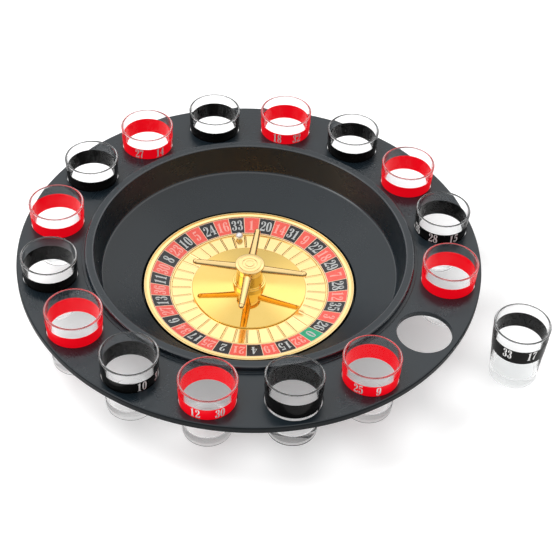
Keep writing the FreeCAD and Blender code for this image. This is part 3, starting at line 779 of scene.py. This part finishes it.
def make_column():
    """Stepped turret column."""
    bm = bmesh.new()
    lathe(bm, [(0, 15.4), (2.6, 15.4), (2.6, 14.6), (4.8, 14.6), (4.8, 13.1), (6.0, 13.1),
               (6.0, 8.2), (8.2, 8.2), (9.2, 8.86), (10.6, 8.74), (10.6, 12.2, 0.25),
               (9.5, 12.2, 0.2), (9.5, 12.8, 0.25), (8.7, 12.8, 0.2), (8.7, 13.4, 0.3),
               (8.2, 21.0, 0.2), (2.5, 21.0), (2.5, 25.6), (1.2, 25.6), (1.2, 21.0),
               (0, 21.0)], 160, math.radians(8))
    column = make_object(bm, "turret_flare", [GOLD_SMOOTH])
    return settle(column, "rotor", "gold_plating", "turret_column")


def laid_lathe(bm, profile, height, lay):
    """Adds a turned shape laid on its side at a height, and gives its vertices."""
    before = set(bm.verts)
    lathe(bm, profile, 64, math.radians(10))
    shape = [v for v in bm.verts if v not in before]
    bmesh.ops.transform(bm, matrix=Matrix.Translation((0, 0, height * MM)) @ lay, verts=shape)
    return shape


def make_arms():
    """Hub with four tapered half-round arms, each ending in a small ball."""
    bm = bmesh.new()
    lathe(bm, [(2.5, 21.0), (8.2, 21.0, 0.2), (8.2, 24.4, 0.4), (7.4, 24.9, 0.2),
               (7.4, 25.6), (2.5, 25.6)], 128)
    rod = [(0, 6.2), (2.9, 6.2), (2.0, 34.75), (0, 34.75)]
    ball = [(0, 32.9), (1.85, 32.9, 1.8), (1.85, 36.6, 1.8), (0, 36.6)]
    for index in range(ARM_COUNT):
        azimuth = FIRST_ARM_AZIMUTH + 360.0 / ARM_COUNT * index
        turn = Matrix.Rotation(math.radians(azimuth), 4, "Z")
        lay = turn @ Matrix.Rotation(math.pi / 2, 4, "Y")
        for vertex in laid_lathe(bm, rod, ARM_UNDERSIDE, lay):
            below = min(vertex.co.z - ARM_UNDERSIDE * MM, 0)
            vertex.co.z -= below * ARM_FLATTENING
        laid_lathe(bm, ball, ARM_BALL_HEIGHT, lay)
    arms = make_object(bm, "turret_cross", [GOLD_SOFT_PAINTED_GLOW])
    return settle(arms, "rotor", "gold_plating", "turret_arms")


def make_cap():
    """Round cap with two raised rings."""
    bm = bmesh.new()
    lathe(bm, [(0, 21.5), (1.2, 21.5), (1.2, 25.6), (9.3, 25.6, 0.3), (9.3, 26.7, 0.5),
               (7.5, 26.95, 0.4), (6.9, 26.65, 0.3), (5.0, 26.65, 0.3), (4.4, 26.95, 0.4),
               (3.0, 26.95, 0.4), (2.4, 26.7, 0.3), (0, 26.8)], 128, math.radians(10))
    return settle(make_object(bm, "turret_button", [GOLD_SOFT_PAINTED_GLOW]), "rotor", "gold_plating",
                  "turret_cap")


def make_ball():
    """Satin steel ball, resting in its pocket."""
    low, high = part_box("ball")
    bm = bmesh.new()
    bmesh.ops.create_uvsphere(bm, u_segments=64, v_segments=32, radius=BALL_RADIUS * MM)
    bmesh.ops.translate(bm, verts=bm.verts, vec=(low + high) / 2)
    return settle(make_object(bm, "game_ball", [BALL], weighted=False), "ball", "ball_steel",
                  "ball")


# ---- glasses ----------------------------------------------------------------------------------
def glass_radius(height):
    """Outer radius of a glass at a height above its base."""
    return GLASS_BASE_RADIUS + (GLASS_RIM_RADIUS - GLASS_BASE_RADIUS) * height / GLASS_HEIGHT


def glass_matrix(number):
    """Where a glass stands: in its hole, or beside the rack for the last one."""
    if number == CUP_COUNT:
        return Matrix.Translation(Vector((*LOOSE_GLASS_PLACE, 0)) * MM)
    base = polar(CUP_CIRCLE_RADIUS, hole_azimuth(number), GLASS_SEAT)
    if number != LEANING_GLASS:
        return Matrix.Translation(base * MM)
    pivot = (RACK_TOP + RACK_UNDERSIDE) / 2 - GLASS_SEAT
    return (Matrix.Translation((base + Vector((0, 0, pivot))) * MM)
            @ Matrix.Rotation(math.radians(-LEAN_DEGREES), 4, "X")
            @ Matrix.Translation(Vector((0, 0, LEAN_LIFT - pivot)) * MM))


def glass_mesh():
    """One glass, with its fire-polished rim in the second material slot, tinted grey as painted
    shade.
    """
    bm = bmesh.new()
    lathe(bm, [(0, 0.5), (11.0, 0.5, 1.5), (12.2, 0, 0.4), (14.5, 0, 1.3), (17.3, 42.6, 0.55),
               (15.9, 42.6, 0.55), (13.55, 6.8, 2.2), (0, 6.8)], 144, math.radians(9))
    for face in bm.faces:
        _, up = middle_of(face)
        face.material_index = up > GLASS_HEIGHT - GLASS_RIM_DEPTH
    return bm


def make_band(number, matrix):
    """Enamel band round a glass, with its numbers."""
    red = number % 2 == 1
    bm = bmesh.new()
    low, high = glass_radius(BAND_BOTTOM), glass_radius(BAND_TOP)
    lathe(bm, [(low - BAND_SUNK, BAND_BOTTOM), (high - BAND_SUNK, BAND_TOP),
               (high + BAND_FILM, BAND_TOP), (low + BAND_FILM, BAND_BOTTOM)], 144)
    centre = matrix.translation
    seen_from = CAMERA_TARGET - camera_axes()[2] * CAMERA_DISTANCE
    facing = math.degrees(math.atan2(seen_from.y - centre.y, seen_from.x - centre.x))
    for value, offset in BAND_NUMBERS[number]:

        def put(across, up, out, azimuth=facing + offset):
            height = BAND_NUMERAL_MIDDLE + up
            radius = glass_radius(height) + BAND_FILM + out
            return polar(radius, azimuth + math.degrees(across / radius), height) * MM

        stamp(bm, str(value), BAND_NUMERAL_HEIGHT, BAND_NUMERAL_SQUEEZE, 0.02, put, 1)
    band = make_object(bm, f"band_print_{number:02d}",
                       [BAND_RED_PAINTED_GLOW if red else BAND_BLACK, NUMERAL_WHITE], weighted=False)
    band.matrix_world = matrix
    return settle(band, f"glass_{number:02d}", "band_red" if red else "band_black",
                  f"number_band_{number:02d}")


def make_glasses():
    """Sixteen glasses with their bands. All but the leaning one share a mesh."""
    shared = None
    for number in range(1, CUP_COUNT + 1):
        matrix = glass_matrix(number)
        name = f"glass_body_{number:02d}"
        if number == LEANING_GLASS:
            bm = glass_mesh()
            bm.transform(matrix)
            glass = make_object(bm, name, [GLASS, GLASS_RIM_PAINTED_SHADE], weighted=False)
        elif shared is None:
            glass = make_object(glass_mesh(), name, [GLASS, GLASS_RIM_PAINTED_SHADE], weighted=False)
            shared = glass.data
        else:
            glass = bpy.data.objects.new(name, shared)
            bpy.context.scene.collection.objects.link(glass)
        if number != LEANING_GLASS:
            glass.matrix_world = matrix
        settle(glass, f"glass_{number:02d}", "clear_glass", f"shot_glass_{number:02d}")
        make_band(number, matrix)


# ---- stage and light --------------------------------------------------------------------------
def make_floor():
    """Pale table that runs nearly to the horizon, so that it fills all but very low views."""
    bm = bmesh.new()
    corners = [(-1, -1), (1, -1), (1, 1), (-1, 1)]
    bm.faces.new([bm.verts.new((x * FLOOR_REACH, y * FLOOR_REACH, -FLOOR_DROP))
                  for x, y in corners])
    floor = make_object(bm, "floor", [pale_floor()], weighted=False)


def make_world():
    """Soft studio surroundings, as a sum of lobes of brightness.

    In order: a sky that brightens upwards, a step up at mid height, two faint panels at mid height
    at the back, a step down towards the zenith, a lamp at the upper left, a low panel at each side
    of the back, and a dimmer front.
    """
    world = bpy.data.worlds.new("studio")
    world.use_nodes = True
    tree = world.node_tree
    tree.nodes.clear()
    links = tree.links

    def add(kind, **settings):
        node = tree.nodes.new("ShaderNode" + kind)
        for key, value in settings.items():
            setattr(node, key, value)
        return node

    def lobe(direction, reach, core, amount):
        """Brightness that fades with the angle from a direction (cosines reach to core)."""
        dot = add("VectorMath", operation="DOT_PRODUCT")
        links.new(coordinates, dot.inputs[0])
        dot.inputs[1].default_value = Vector(direction).normalized()
        ramp = add("MapRange", interpolation_type="SMOOTHSTEP")
        links.new(dot.outputs["Value"], ramp.inputs["Value"])
        ramp.inputs["From Min"].default_value = reach
        ramp.inputs["From Max"].default_value = core
        ramp.inputs["To Min"].default_value = 0
        ramp.inputs["To Max"].default_value = amount
        return ramp.outputs["Result"]

    def total(values):
        result = values[0]
        for value in values[1:]:
            node = add("Math", operation="ADD")
            links.new(result, node.inputs[0])
            links.new(value, node.inputs[1])
            result = node.outputs[0]
        return result

    coordinates = add("TexCoord").outputs["Generated"]
    strength = total([
        lobe((0, 0, 1), -0.5, 0.9, 0.92),
        lobe((0, 0, 1), 0.655, 0.705, 0.38),
        lobe((0.19, 0.71, 0.68), 0.97, 0.995, 0.22),
        lobe((-0.19, 0.71, 0.68), 0.97, 0.995, 0.22),
        lobe((0, 0, 1), 0.75, 0.82, -0.34),
        lobe((-0.8, -0.3, 0.55), 0.94, 0.985, 1.4),
        lobe((0.58, 0.72, 0.38), 0.85, 0.98, 0.28),
        lobe((-0.58, 0.72, 0.38), 0.85, 0.98, 0.28),
        lobe((0, -1, 0.25), 0.6, 0.95, -0.28),
    ])
    background = add("Background")
    links.new(strength, background.inputs["Strength"])
    background.inputs["Color"].default_value = (1, 1, 1, 1)
    output = add("OutputWorld")
    links.new(background.outputs[0], output.inputs["Surface"])
    bpy.context.scene.world = world


def make_key_light():
    """Soft round lamp from the upper left, kept out of mirrors and out of the picture."""
    data = bpy.data.lights.new("key", "AREA")
    data.shape = "DISK"
    data.size = 0.9
    data.energy = 14
    key = bpy.data.objects.new("key", data)
    bpy.context.scene.collection.objects.link(key)
    spot = Vector((-1.0, 0.3, 1.4))
    key.matrix_world = Matrix.Translation(spot) @ spot.to_track_quat("Z", "Y").to_matrix().to_4x4()
    key.visible_glossy = False
    key.visible_camera = False


def carry_over():
    """Gives the hidden CAD nodes their procedural materials."""
    finishes = {"spindle": STEEL, "spindle_washer": STEEL, "spindle_nut": STEEL,
                "retaining_clip": STEEL, "thrust_washer": NYLON, "hub_bush": BRASS}
    for node, material in finishes.items():
        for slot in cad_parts[node].material_slots:
            slot.material = material


make_camera()
make_world()
make_key_light()
make_floor()
make_rack()
make_bowl()
make_pan()
make_number_ring()
make_pockets()
make_cone()
make_column()
make_arms()
make_cap()
make_ball()
make_glasses()
carry_over()

view = bpy.context.scene.view_settings
view.view_transform = "Standard"
view.look = "None"
